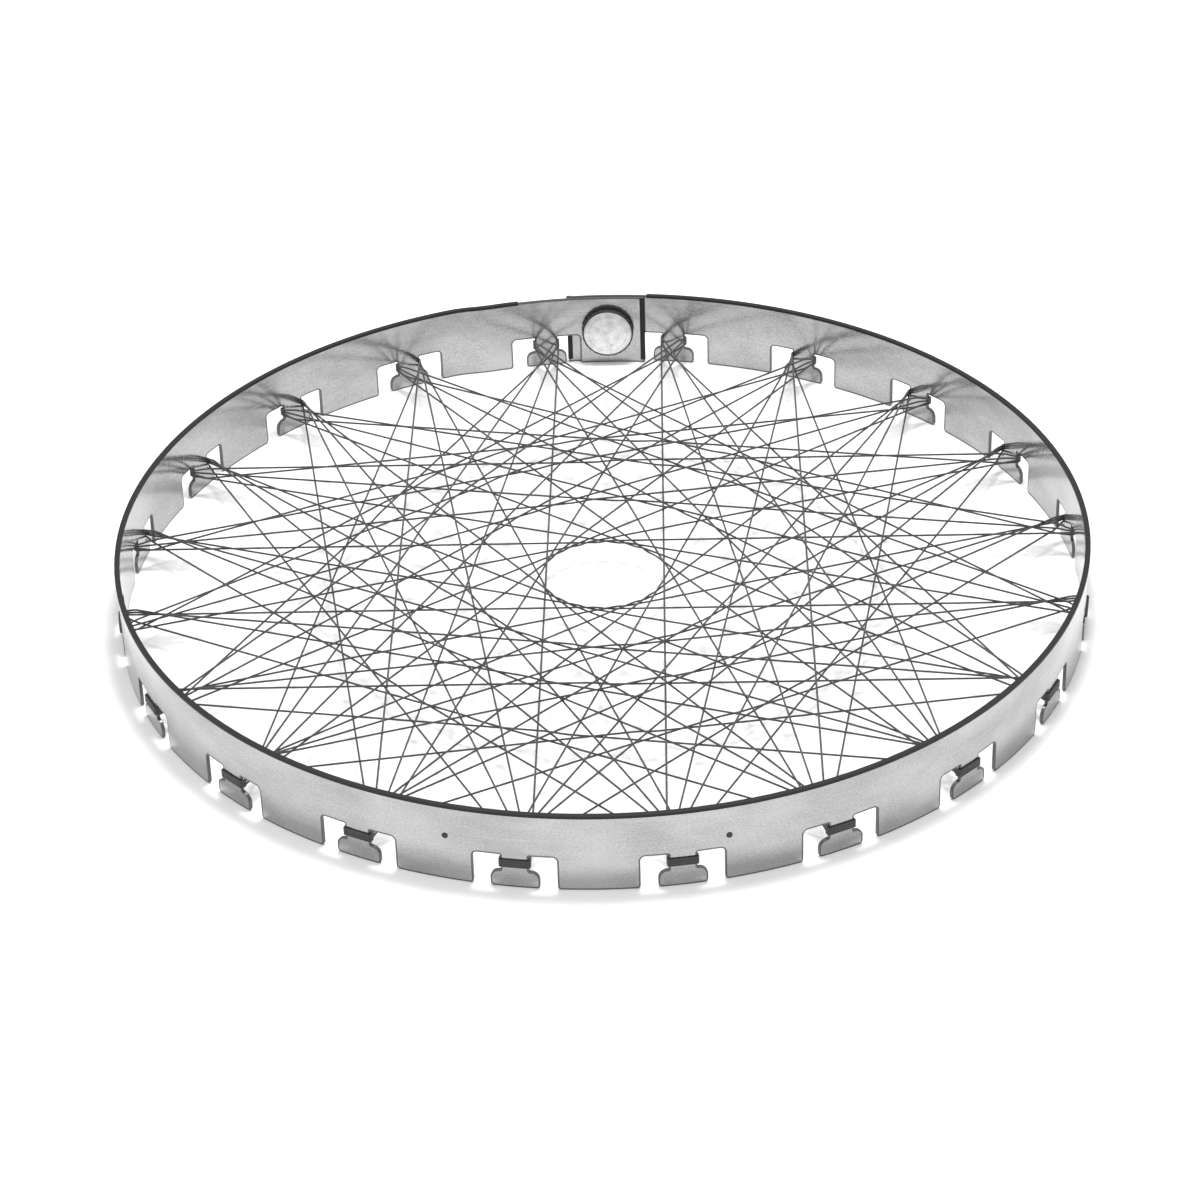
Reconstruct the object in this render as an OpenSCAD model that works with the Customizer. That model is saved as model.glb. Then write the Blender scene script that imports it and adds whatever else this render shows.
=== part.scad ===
// Hoop and net of a lawn bounce-ball game. One long flat strip is bent into a hoop that stands
// on its lower edge. Its ends lap at the back, where a clamp knob pulls them together.
// Windows cut along the lower edge leave T-shaped hooks, and the net cord is laid from hook
// to hook in four courses, one above the other.
// Millimetres, +Z up, the lap at +Y. The origin is on the ground in the middle of the part.

/* [Hoop] */
// Outside diameter of the hoop strip
hoop_d = 914; // [760:1:1100]
// Height of the strip without its edging
strip_h = 77; // [70:0.5:110]
// Thickness of the strip
strip_t = 3; // [2:0.25:4]

/* [Net hooks] */
// Number of hooks round the hoop
hook_count = 20; // [20:2:24]
// Width of the window that each hook stands in
window_w = 73; // [60:0.5:76]
// Height of the window above the ground
window_h = 33.5; // [33:0.5:42]
// Radius of the window's top corners
window_r = 4.5; // [1:0.5:8]
// Width of the hook's neck, which the cord goes round
neck_w = 24; // [14:0.5:30]
// Width of the hook's foot
foot_w = 43; // [36:0.5:54]
// Height of the hook's foot
foot_h = 17; // [12:0.5:17]
// Radius of the foot's shoulders
shoulder_r = 8; // [2:0.5:9]
// Radius of the corners that stand on the ground
corner_r = 3.5; // [1:0.5:4.5]

/* [Net] */
// Thickness of the net cord
cord_d = 1.9; // [1.2:0.1:2]
// Step in hooks of the top course's cords
top_step = 7; // [5:1:9]
// Step in hooks of the second course's cords
second_step = 8; // [5:1:9]
// Step in hooks of the third course's cords
third_step = 9; // [5:1:9]
// Step in hooks of the lowest course's cords
lowest_step = 6; // [5:1:9]

/* [Lap at the back] */
// Sideways shift of the lap, with the hook that stands in its inner layer
lap_shift = 7.5; // [0:0.5:8]
// Clear gap between the two layers of the strip
lap_gap = 1.2; // [1.2:0.1:2]
// Length along the strip over which the inner layer steps inwards
joggle_l = 40; // [24:1:48]
// How far the outer end reaches past the lap's tooth
tongue_l = 12; // [6:1:12]

/* [Edging] */
// Wall of the edging
edge_wall = 1; // [0.6:0.1:1]
// How far the rim's edging reaches down the strip's faces
rim_leg = 2; // [2:0.5:6]
// How far the end edging reaches along the strip's faces
end_leg = 4; // [2:0.5:6]

/* [Clamp] */
// Sideways offset of the clamp from the middle of the lap
clamp_x = -5.5; // [-6:0.5:6]
// Diameter of the bolt
bolt_d = 8; // [6:0.5:10]
// Radial running clearance on the bolt
bolt_fit = 0.05; // [0.02:0.01:0.1]
// Diameter of the bolt's domed head
head_d = 20; // [16:0.5:26]
// Height of the bolt's domed head
head_h = 4; // [2.5:0.5:6]
// Diameter of the pad between the two layers
pad_d = 28; // [20:1:34]
// Diameter of the washer under the knob
washer_d = 24; // [18:1:30]
// Thickness of the washer
washer_t = 1.5; // [1.25:0.25:3]
// Diameter of the knob
knob_d = 53.5; // [44:0.5:54]
// Depth of the knob's body
knob_h = 6.5; // [6.25:0.25:12]
// Number of grip flutes round the knob
flute_count = 24; // [12:1:36]
// Diameter of the knob's brass insert
insert_d = 16; // [14:0.5:20]
// Rim left round the knob's cap
cap_rim = 1.5; // [1:0.25:4]
// Thickness of the cap at its edge
cap_t = 1.2; // [1:0.1:2]
// Rise of the cap's dome
cap_rise = 1.5; // [0.5:0.1:3]

/* [Rivets] */
// Diameter of the two rivets at the front
rivet_d = 4; // [3:0.5:6]
// Diameter of the rivets' flat heads
rivet_head_d = 5.5; // [5:0.5:9]
// Thickness of the rivets' heads
rivet_head_t = 0.8; // [0.5:0.1:0.9]
// Distance between the two rivets along the hoop
rivet_gap = 244; // [220:1:250]
// Sideways shift of the pair of rivets
rivet_shift = -10; // [-14:0.5:14]
// Height of the two rivets above the ground
rivet_z = 46; // [42:0.5:60]

/* [Hidden] */
$fn = 64;
slack = 0.02;
hair = 0.05;
hoop_r = hoop_d / 2;
lap_step = strip_t + lap_gap;
lap_r = hoop_r - lap_step;
pitch = 360 / hook_count;
// The hoop's centre sits forward, so that the bolt head and the front edge are equally far out
hoop_y = (edge_wall - head_h) / 2;
// Half of a window's angle, and the angle of a length along the strip
half_window = asin(window_w / 2 / hoop_r);
function along(l) = l / hoop_r * 180 / PI;
// The inner layer runs from its free end at the lap, past the first hook, to the joggle.
// The outer layer runs from the joggle all the way round to its own free end.
inner_end = 90 - pitch / 2 + half_window + along(edge_wall + 1 - lap_shift);
joggle_from = 90 + pitch - along(joggle_l / 2);
joggle_to = 90 + pitch + along(joggle_l / 2);
outer_end = 360 + 90 + pitch / 2 - half_window + along(tongue_l - lap_shift);
// The rim's edging stops where the layers lap
edging_from = 90 + pitch / 2 + half_window - along(8 + lap_shift);
edging_to = 360 + inner_end - along(2 * edge_wall + 1);
joggle_steps = 12;
// Courses are spread evenly over the neck's height, with room for two cords to cross in each
course_pitch = (window_h - foot_h) / 4;
function course_z(level) = foot_h + course_pitch * (level + 0.5);
cord_side = neck_w / 2 + cord_d / 2;
// Clamp: its pieces are stacked along -Y, from the bolt's head on the outside to the knob's cap
clamp_side = clamp_x + lap_shift;
clamp_z = strip_h / 2;
head_seat = hoop_r;
washer_seat = sqrt(pow(lap_r - strip_t, 2) - pow(abs(clamp_side) + washer_d / 2, 2)) - slack;
knob_seat = washer_seat - washer_t;
insert_l = knob_h - cap_t;
bolt_reach = head_seat - knob_seat + insert_l - 0.5;
cap_r = knob_d / 2 - cap_rim;
rivet_angles = [for (side = [-1, 1]) -90 + along(rivet_shift + side * rivet_gap / 2)];

// ---- the strip's path ----

// Part of a round band, from one angle to another
module band(from, to, inner, outer, z, h) {
    rotate([0, 0, from]) translate([0, 0, z])
        rotate_extrude(angle = to - from, $fn = 240)
            translate([inner, 0]) square([outer - inner, h]);
}

function ease(u) = u * u * (3 - 2 * u);
// Point i of the joggle's edge at radius r. The first and last points run on into the bands.
function joggle_point(i, r) =
    let (u = max(0, min(1, i / joggle_steps)),
         run_on = along(2) * (i < 0 ? -1 : i > joggle_steps ? 1 : 0),
         a = joggle_from + (joggle_to - joggle_from) * u + run_on,
         q = r - lap_step * (1 - ease(u)))
    [q * cos(a), q * sin(a)];

// The stretch where the strip steps from the inner layer out to the full radius. It is thinner
// than the bands by a hair, so that its ends lie inside them.
module joggle(grow, z, h) {
    translate([0, 0, z]) linear_extrude(h) polygon(concat(
        [for (i = [-1:joggle_steps + 1]) joggle_point(i, hoop_r + grow - hair)],
        [for (i = [joggle_steps + 1:-1:-1]) joggle_point(i, hoop_r - strip_t - grow + hair)]));
}

// The strip's path between two angles, thickened by grow on both faces
module path_band(from, to, grow, z, h) {
    if (from < joggle_from)
        band(from, min(to, joggle_from), lap_r - strip_t - grow, lap_r + grow, z, h);
    if (from < joggle_from && to > joggle_to) joggle(grow, z, h);
    if (to > joggle_to)
        band(max(from, joggle_to), to, hoop_r - strip_t - grow, hoop_r + grow, z, h);
}

// ---- hooks ----

// Only the first hook is in the inner layer, and it shifts with the lap
function hook_angle(i) = 90 + pitch / 2 + pitch * i - (i == 0 ? along(lap_shift) : 0);
function hook_r(i) = i == 0 ? lap_r : hoop_r;

// What lies between a corner at the origin and an arc inside its +X +Y quarter, and a little
// beyond the corner. The arc leaves the two edges at a slight angle.
module nook(r) {
    flat = 1.2;
    centre = r * (0.5 + sqrt((flat * flat - 0.5) / 2));
    difference() {
        translate([-1, -1]) square(r + 1.3);
        translate([centre, centre]) circle(r * flat);
    }
}

// The window, less what stands in it: a neck with a wide foot. Seen from the front, as cut.
module window_2d() {
    shoulder = min(shoulder_r, (foot_w - neck_w) / 2 - 1, foot_h - corner_r - 1);
    difference() {
        translate([-window_w / 2, -1]) square([window_w, window_h + 1]);
        translate([-foot_w / 2, -2]) square([foot_w, foot_h + 2]);
        translate([-neck_w / 2, foot_h / 2]) square([neck_w, window_h]);
        for (s = [0, 1]) mirror([s, 0])
            translate([window_w / 2, window_h]) rotate(180) nook(window_r);
    }
    for (s = [0, 1]) mirror([s, 0]) {
        translate([window_w / 2, 0]) nook(corner_r);
        translate([foot_w / 2, 0]) mirror([1, 0]) nook(corner_r);
        translate([foot_w / 2, foot_h]) rotate(180) nook(shoulder);
    }
}

module window_cut(i) {
    rotate([0, 0, hook_angle(i) - 90]) translate([0, hook_r(i) + 2, 0]) rotate([90, 0, 0])
        linear_extrude(strip_t + 12) window_2d();
}

// ---- net ----

// A point beside hook i: out along its radius, and sideways from its middle
function at_hook(i, out, side) =
    let (a = hook_angle(i)) [out * cos(a) - side * sin(a), out * sin(a) + side * cos(a)];
// Where a cord bends inside the neck, clear of the neck's corners
function bend_r(i) = hook_r(i) - strip_t - 0.6 * cord_d;

// A straight span of cord between two points of the plan. Its ends run a little past the bends.
module span(a, b) {
    d = b - a;
    past = cord_d / 5;
    translate(a) rotate([0, 0, atan2(d[1], d[0])])
        translate([-past, -cord_d / 2]) square([norm(d) + 2 * past, cord_d]);
}

// The cord's turn round a neck: in beside it, across its outside and back
module turn(i) {
    inner = bend_r(i) - cord_d / 3;
    outer = hook_r(i) + cord_d;
    rotate([0, 0, hook_angle(i)]) polygon([
        [inner, -neck_w / 2 - cord_d], [outer, -neck_w / 2 - cord_d],
        [outer, neck_w / 2 + cord_d], [inner, neck_w / 2 + cord_d],
        [inner, neck_w / 2], [hook_r(i), neck_w / 2],
        [hook_r(i), -neck_w / 2], [inner, -neck_w / 2]]);
}

// One course: a cord from each hook to the hook that is step places on. It leaves on the neck's
// near side, crosses in front of the neck, and goes round the next neck from outside.
module course_2d(step) {
    for (i = [0:hook_count - 1]) {
        j = (i + step) % hook_count;
        span(at_hook(i, bend_r(i), -cord_side), at_hook(j, bend_r(j), cord_side));
        turn(i);
    }
}

module course(level, step) {
    translate([0, hoop_y, course_z(level) - cord_d / 2]) linear_extrude(cord_d) course_2d(step);
}

// ---- clamp ----

// Places a piece whose own +Z points into the hoop along the clamp's axis
module on_clamp(y) {
    translate([clamp_side, y + hoop_y, clamp_z]) rotate([90, 0, 0]) children();
}

// Places a piece whose own +Z points outwards on each rivet's axis, so far from the strip's face
module on_rivets(out) {
    for (a = rivet_angles) rotate([0, 0, a]) translate([hoop_r + out, 0, rivet_z])
        rotate([0, 90, 0]) children();
}

// ---- the pieces ----

module hoop_strip() color("silver") {
    difference() {
        translate([0, hoop_y, 0]) {
            difference() {
                path_band(joggle_to, outer_end, 0, 0, strip_h);
                for (i = [1:hook_count - 1]) window_cut(i);
                on_rivets(-strip_t - 1) cylinder(d = rivet_d, h = strip_t + 2);
            }
            joggle(0, 0, strip_h);
            difference() {
                path_band(inner_end, joggle_from, 0, 0, strip_h);
                window_cut(0);
            }
        }
        // The outer layer's hole is square and holds the bolt's neck, the inner one is round
        on_clamp(head_seat + 1) translate([-bolt_d / 2, -bolt_d / 2, 0])
            cube([bolt_d, bolt_d, strip_t + 1 + lap_gap / 2]);
        on_clamp(lap_r + lap_gap / 2) cylinder(d = bolt_d + 0.8, h = lap_step + 2);
    }
}

module rim_edging() color("dimgray") translate([0, hoop_y, 0]) difference() {
    path_band(edging_from, edging_to, edge_wall, strip_h - rim_leg, rim_leg + edge_wall);
    path_band(edging_from - 1, edging_to + 1, 0, strip_h - rim_leg - 1, rim_leg + 1);
}

module inner_end_edging() color("dimgray") translate([0, hoop_y, 0]) difference() {
    band(inner_end - along(edge_wall), inner_end + along(end_leg),
         lap_r - strip_t - edge_wall, lap_r + edge_wall, corner_r, strip_h - corner_r);
    band(inner_end, inner_end + 1, lap_r - strip_t, lap_r, 0, strip_h + 1);
}

module outer_end_edging() color("dimgray") translate([0, hoop_y, 0]) difference() {
    band(outer_end - along(end_leg), outer_end + along(edge_wall),
         hoop_r - strip_t - edge_wall, hoop_r + edge_wall, corner_r, strip_h - corner_r);
    band(outer_end - 1, outer_end, hoop_r - strip_t, hoop_r, 0, strip_h + 1);
}

// Two black rivets that fill their holes, each with a flat head outside
module front_rivets() color("black") translate([0, hoop_y, 0]) {
    on_rivets(-strip_t - 0.4) cylinder(d = rivet_d, h = strip_t + 0.4);
    on_rivets(0) cylinder(d = rivet_head_d, h = rivet_head_t);
}

module net_course_top() color("darkslategray") course(3, top_step);
module net_course_second() color("slategray") course(2, second_step);
module net_course_third() color("darkslategray") course(1, third_step);
module net_course_lowest() color("slategray") course(0, lowest_step);

module clamp_bolt() color("lightsteelblue") {
    ball_r = (pow(head_d / 2, 2) + pow(head_h, 2)) / (2 * head_h);
    on_clamp(head_seat) cylinder(d = bolt_d, h = bolt_reach);
    on_clamp(head_seat) translate([-bolt_d / 2, -bolt_d / 2, 0]) cube([bolt_d, bolt_d, strip_t]);
    on_clamp(head_seat) intersection() {
        translate([0, 0, ball_r - head_h]) sphere(ball_r);
        translate([0, 0, -head_h]) cylinder(d = head_d, h = head_h);
    }
}

// A soft pad that fills the gap between the layers round the bolt
module clamp_pad() color("dimgray") difference() {
    intersection() {
        on_clamp(hoop_r) cylinder(d = pad_d, h = lap_step + 4);
        translate([0, hoop_y, 0]) band(80, 100, lap_r, hoop_r - strip_t, 0, strip_h);
    }
    on_clamp(hoop_r) cylinder(d = bolt_d + 0.8, h = lap_step + 6);
}

module clamp_washer() color("gainsboro") on_clamp(washer_seat) difference() {
    cylinder(d = washer_d, h = washer_t);
    translate([0, 0, -1]) cylinder(d = bolt_d + 2 * bolt_fit, h = washer_t + 2);
}

module knob_body() color("black") on_clamp(knob_seat) difference() {
    rotate_extrude() polygon([[insert_d / 2, 0], [knob_d / 2 - 4, 0], [knob_d / 2, 1.5],
        [knob_d / 2, knob_h - 0.6], [knob_d / 2 - 0.6, knob_h], [cap_r, knob_h],
        [cap_r, insert_l], [insert_d / 2, insert_l]]);
    for (i = [0:flute_count - 1]) rotate([0, 0, (i + 0.5) * 360 / flute_count])
        translate([knob_d / 2 + 1, 0, -1]) cylinder(r = 1.7, h = knob_h + 2, $fn = 24);
}

module knob_insert() color("gold") on_clamp(knob_seat) difference() {
    cylinder(d = insert_d, h = insert_l);
    translate([0, 0, -1]) cylinder(d = bolt_d + 2 * bolt_fit, h = insert_l + 2);
}

// The cap is domed, with a small dimple off its middle
module knob_cap() color("lightgray") on_clamp(knob_seat) difference() {
    union() {
        translate([0, 0, insert_l]) cylinder(r = cap_r, h = cap_t);
        intersection() {
            dome_r = (pow(cap_r, 2) + pow(cap_rise, 2)) / (2 * cap_rise);
            translate([0, 0, knob_h + cap_rise - dome_r]) sphere(dome_r, $fn = 256);
            translate([0, 0, knob_h - 0.1]) cylinder(r = cap_r, h = cap_rise + 1);
        }
    }
    translate([cap_r * 0.15, -cap_r * 0.45, knob_h + cap_rise - 1]) cylinder(d = 4, h = 4);
}

hoop_strip();
rim_edging();
inner_end_edging();
outer_end_edging();
net_course_top();
net_course_second();
net_course_third();
net_course_lowest();
front_rivets();
clamp_bolt();
clamp_pad();
clamp_washer();
knob_body();
knob_insert();
knob_cap();
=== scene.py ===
"""The looks of a lawn game's hoop and net, built around its fixed frame.

A flat metal strip is cut, rolled into a hoop and edged, a cord net is laced over its hooks,
and a knob clamps the lap at the back. Lengths are in metres and angles in radians.
"""

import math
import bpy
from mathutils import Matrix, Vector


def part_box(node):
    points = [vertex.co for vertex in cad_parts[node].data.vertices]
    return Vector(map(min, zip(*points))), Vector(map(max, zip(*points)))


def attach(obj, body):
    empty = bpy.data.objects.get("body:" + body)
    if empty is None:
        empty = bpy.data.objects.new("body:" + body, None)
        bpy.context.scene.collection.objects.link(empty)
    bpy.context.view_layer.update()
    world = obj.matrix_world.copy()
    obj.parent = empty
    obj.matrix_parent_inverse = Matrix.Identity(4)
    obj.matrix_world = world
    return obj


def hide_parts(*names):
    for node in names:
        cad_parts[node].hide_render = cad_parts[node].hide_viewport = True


bl_info = {
    "name": "Lawn hoop and net",
    "version": (1, 0, 0),
    "blender": (4, 5, 0),
    "location": "View3D > Sidebar > Lawn hoop",
    "description": "Models and finishes a rolled strip hoop with a laced net and a clamp knob",
    "category": "Add Mesh",
}

import bpy
from bpy.props import FloatProperty, FloatVectorProperty, IntProperty, PointerProperty
from mathutils import Matrix, Vector

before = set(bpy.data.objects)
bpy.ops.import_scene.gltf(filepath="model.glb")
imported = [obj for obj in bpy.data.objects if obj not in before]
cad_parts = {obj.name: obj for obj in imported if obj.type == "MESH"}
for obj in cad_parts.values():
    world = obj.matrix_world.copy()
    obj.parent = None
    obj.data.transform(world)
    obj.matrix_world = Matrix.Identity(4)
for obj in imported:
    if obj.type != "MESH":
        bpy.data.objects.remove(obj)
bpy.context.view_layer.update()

MM = 0.001
STRIP_LOW, STRIP_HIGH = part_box("hoop_strip")
HOOP_RADIUS = round((STRIP_HIGH.x - STRIP_LOW.x) / 2, 4)
HOOP_MIDDLE = Vector((0, round(STRIP_LOW.y + HOOP_RADIUS, 4), 0))
STRIP_HEIGHT = round(STRIP_HIGH.z, 4)
KNOB_LOW, KNOB_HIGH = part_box("knob_body")
KNOB_MIDDLE = (KNOB_LOW + KNOB_HIGH) / 2
CAP_LOW, CAP_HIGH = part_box("knob_cap")
BACK = math.pi / 2
FULL_TURN = 2 * math.pi
ALONG_Z = (0, 0, 0)
SQUARE_ON = 0.99
# How strongly the band along the cut edges takes the painted shade.
BAND_SHADE = 0.95


def length(name, text, millimetres):
    """A length property, given in millimetres and kept in metres."""
    return FloatProperty(name=name, description=text, default=millimetres * MM, unit="LENGTH",
                         precision=4)


def colour(name, text, red, green, blue):
    """A colour property."""
    return FloatVectorProperty(name=name, description=text, default=(red, green, blue),
                               subtype="COLOR", size=3, min=0, max=1)


# ---- sizes and colours that a user would change ----


class HoopSizes(bpy.types.PropertyGroup):
    """The rolled strip and its hooks."""

    radius: length("Radius", "Outside radius of the hoop", HOOP_RADIUS / MM)
    height: length("Height", "Height of the strip", STRIP_HEIGHT / MM)
    thickness: length("Thickness", "Thickness of the strip", 3)
    edge: length("Edge radius", "Rounding of the strip's cut edges", 0.6)
    # The border is the band of painted shade along the cut edges.
    border: length("Border", "Width of the darker band along the cut edges", 1.4)
    hooks: IntProperty(name="Hooks", description="Number of hooks round the hoop", default=20)
    window_width: length("Window width", "Width of the window round a hook", 73)
    window_height: length("Window height", "Height of the window round a hook", 33.5)
    window_corner: length("Window corner", "Radius of the window's top corners", 4.5)
    neck_width: length("Neck width", "Width of a hook's neck", 24)
    foot_width: length("Foot width", "Width of a hook's foot", 43)
    foot_height: length("Foot height", "Height of a hook's foot", 17)
    shoulder: length("Shoulder", "Radius of the foot's shoulders", 8)
    ground_corner: length("Ground corner", "Radius of the corners on the ground", 3.5)
    lap_step: length("Lap step", "How far the inner layer lies inside the outer one", 4.2)
    joggle: length("Joggle", "Length over which the strip steps inwards", 40)
    tongue: length("Tongue", "How far the outer end passes the lap's tooth", 12)
    lap_shift: length("Lap shift", "Sideways shift of the lap and its inner layer", 7.5)
    edging_wall: length("Edging wall", "Wall of the rubber edging", 1)
    rim_leg: length("Rim leg", "How far the rim's edging reaches down the strip", 2)
    end_leg: length("End leg", "How far the end edging reaches along the strip", 4)


class RivetSizes(bpy.types.PropertyGroup):
    """The two rivets at the front."""

    shank: length("Shank", "Radius of the shank", 2)
    head: length("Head", "Radius of the flat head", 2.75)
    rise: length("Rise", "Thickness of the head", 0.8)
    tail: length("Tail", "How far the shank stands out inside", 0.4)
    gap: length("Gap", "Distance between the rivets along the hoop", 244)
    shift: length("Shift", "Sideways shift of the pair", -10)
    height: length("Height", "Height of the rivets above the ground", 46)


class NetSizes(bpy.types.PropertyGroup):
    """The cord and the way it is laid."""

    cord: length("Cord", "Thickness of the cord", 1.9)
    bunch: length("Bunch", "Height between the cords where they bunch outside a neck", 1.98)
    bunch_top: length("Bunch top", "Height of the topmost cord outside a neck", 28.2)
    lead: length("Lead", "Length over which a cord climbs to its bunch", 14)
    ring_gap: length("Ring gap", "Distance between the rings of a straight cord", 42)
    sides: IntProperty(name="Sides", description="Sides of the cord", default=10)


class KnobSizes(bpy.types.PropertyGroup):
    """The knob that clamps the lap."""

    radius: length("Radius", "Radius of the knob", (KNOB_HIGH.x - KNOB_LOW.x) / 2 / MM)
    depth: length("Depth", "Depth of the knob's body", (KNOB_HIGH.y - KNOB_LOW.y) / MM)
    insert: length("Insert", "Radius of the brass insert", 8)
    flutes: IntProperty(name="Flutes", description="Grip flutes round the knob", default=24)
    flute: length("Flute", "Radius of a grip flute", 1.7)
    rim: length("Rim", "Width of the rim round the cap", 1.5)
    cap: length("Cap", "Thickness of the cap at its edge", 1.2)
    rise: length("Rise", "Rise of the cap's dome", 1.5)


class Colours(bpy.types.PropertyGroup):
    """The colours of the finishes."""

    metal: colour("Metal", "Rolled strip", 0.4, 0.4, 0.403)
    edging: colour("Edging", "Rubber edging", 0.009, 0.009, 0.0095)
    cord: colour("Cord", "Net cord", 0.035, 0.035, 0.037)
    knob: colour("Knob", "Moulded knob", 0.018, 0.018, 0.019)
    cap: colour("Cap", "Spun cap", 0.66, 0.66, 0.66)
    steel: colour("Steel", "Plated bolt and washer", 0.6, 0.6, 0.62)
    brass: colour("Brass", "Turned insert", 0.72, 0.5, 0.22)
    floor: colour("Floor", "Floor under the hoop", 0.94, 0.94, 0.94)


# ---- shader maths ----


class Wave:
    """A value in a shader. Each operator on it adds a Math node."""

    def __init__(self, finish, socket):
        self.finish = finish
        self.socket = socket

    def math(self, operation, *values):
        return self.finish.add("ShaderNodeMath", {"operation": operation},
                               dict(enumerate(values)))

    def __add__(self, other):
        return self.math("ADD", self, other)

    def __sub__(self, other):
        return self.math("SUBTRACT", self, other)

    def __rsub__(self, other):
        return self.math("SUBTRACT", other, self)

    def __mul__(self, other):
        return self.math("MULTIPLY", self, other)

    def __truediv__(self, other):
        return self.math("DIVIDE", self, other)

    def __pow__(self, other):
        return self.math("POWER", self, other)

    __radd__ = __add__
    __rmul__ = __mul__

    def sin(self):
        return self.math("SINE", self)

    def abs(self):
        return self.math("ABSOLUTE", self)

    def between(self, low, high):
        """A soft step from 0 below low to 1 above high."""
        return self.finish.add("ShaderNodeMapRange", {"interpolation_type": "SMOOTHSTEP"},
                               {"Value": self, "From Min": low, "From Max": high})


class Finish:
    """A material in the making."""

    def __init__(self, name):
        self.material = bpy.data.materials.new(name)
        self.material.use_nodes = True
        self.tree = self.material.node_tree
        self.tree.nodes.clear()
        self.shader = self.tree.nodes.new("ShaderNodeBsdfPrincipled")
        output = self.tree.nodes.new("ShaderNodeOutputMaterial")
        self.tree.links.new(self.shader.outputs[0], output.inputs["Surface"])

    def add(self, kind, settings, values, output=0):
        """Adds a node: its settings first, then a value or a link for each socket named."""
        node = self.tree.nodes.new(kind)
        for name, value in settings.items():
            setattr(node, name, value)
        for name, value in values.items():
            self.feed(node.inputs[name], value)
        return Wave(self, node.outputs[output])

    def feed(self, socket, value):
        if isinstance(value, Wave):
            self.tree.links.new(value.socket, socket)
        else:
            socket.default_value = value

    def stretch(self, place, scale):
        """A place with each axis multiplied, which sets a pattern's size along it."""
        return self.add("ShaderNodeVectorMath", {"operation": "MULTIPLY"}, {0: place, 1: scale})

    def noise(self, place, detail=2.0, roughness=0.5):
        return self.add("ShaderNodeTexNoise", {},
                        {"Vector": place, "Scale": 1.0, "Detail": detail, "Roughness": roughness})

    def parts(self, place):
        """The three numbers of a place."""
        split = self.tree.nodes.new("ShaderNodeSeparateXYZ")
        self.feed(split.inputs[0], place)
        return [Wave(self, socket) for socket in split.outputs]

    def mix(self, mask, first, second):
        """From the first colour to the second as mask goes from 0 to 1."""
        return self.add("ShaderNodeMix", {"data_type": "RGBA"}, {0: mask, 6: first, 7: second},
                        output=2)

    def bump(self, height, distance, strength=1.0):
        return self.add("ShaderNodeBump", {},
                        {"Height": height, "Distance": distance, "Strength": strength})

    def surface(self, **values):
        """Sets the shader's own sockets. An underline in a name stands for a space."""
        for name, value in values.items():
            self.feed(self.shader.inputs[name.replace("_", " ")], value)
        return self.material


def shade(rgb, factor):
    """A colour made lighter or darker, with its alpha."""
    return (*(min(1.0, part * factor) for part in rgb), 1.0)


def rolled_metal(rgb):
    """Satin strip with rolling lines along it, soft handling marks, duller cut edges, and painted
    shade that darkens the cut edges and a band along them.
    """
    finish = Finish("rolled_metal")
    flat = finish.add("ShaderNodeAttribute", {"attribute_name": "flat"}, {}, output=1)
    cut = finish.add("ShaderNodeAttribute", {"attribute_name": "cut"}, {}, output=2)
    lines = finish.noise(finish.stretch(flat, (7, 60, 1300)), 3, 0.6)
    grain = finish.noise(finish.stretch(flat, (420, 420, 900)), 2, 0.6)
    clouds = finish.noise(finish.stretch(flat, (13, 40, 24)), 4, 0.55)
    scuffs = finish.noise(finish.stretch(flat, (55, 200, 900)), 2, 0.7).between(0.62, 0.74)
    ticks = finish.noise(finish.stretch(flat, (900, 90, 40)), 1, 0.5).between(0.68, 0.78)
    mottle = (lines * 0.2 + clouds * 0.4 + grain * 0.4).between(0.36, 0.64)
    face = finish.mix(mottle, shade(rgb, 0.78), shade(rgb, 1.2))
    marked = finish.mix(scuffs * 0.35 + ticks * 0.2, face, shade(rgb, 1.45))
    # Painted shade: the cut edges and the band along them are darkened towards a dark grey.
    tint = finish.mix(cut * 0.9, marked, shade(rgb, 0.22))
    dull = clouds * 0.08 + lines * 0.06 + scuffs * 0.1 + 0.08
    height = lines * 0.5 + grain * 0.2 + scuffs * 0.4
    return finish.surface(Base_Color=tint, Metallic=0.92, Roughness=dull + cut * 0.2,
                          Normal=finish.bump(height, 0.00009, 0.6))


def rubber(rgb):
    """Matte extruded rubber with fine pores and dusty patches."""
    finish = Finish("edging_rubber")
    place = finish.add("ShaderNodeTexCoord", {}, {}, output=3)
    pores = finish.noise(finish.stretch(place, (1500, 1500, 1500)), 2, 0.6)
    dust = finish.noise(finish.stretch(place, (30, 30, 60)), 4, 0.6).between(0.48, 0.75)
    tint = finish.mix(dust * 0.4, shade(rgb, 0.8), shade(rgb, 2.2))
    return finish.surface(Base_Color=tint, Roughness=pores * 0.2 + dust * 0.12 + 0.42,
                          Specular_IOR_Level=0.3,
                          Normal=finish.bump(pores, 0.00012, 0.7))


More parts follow.
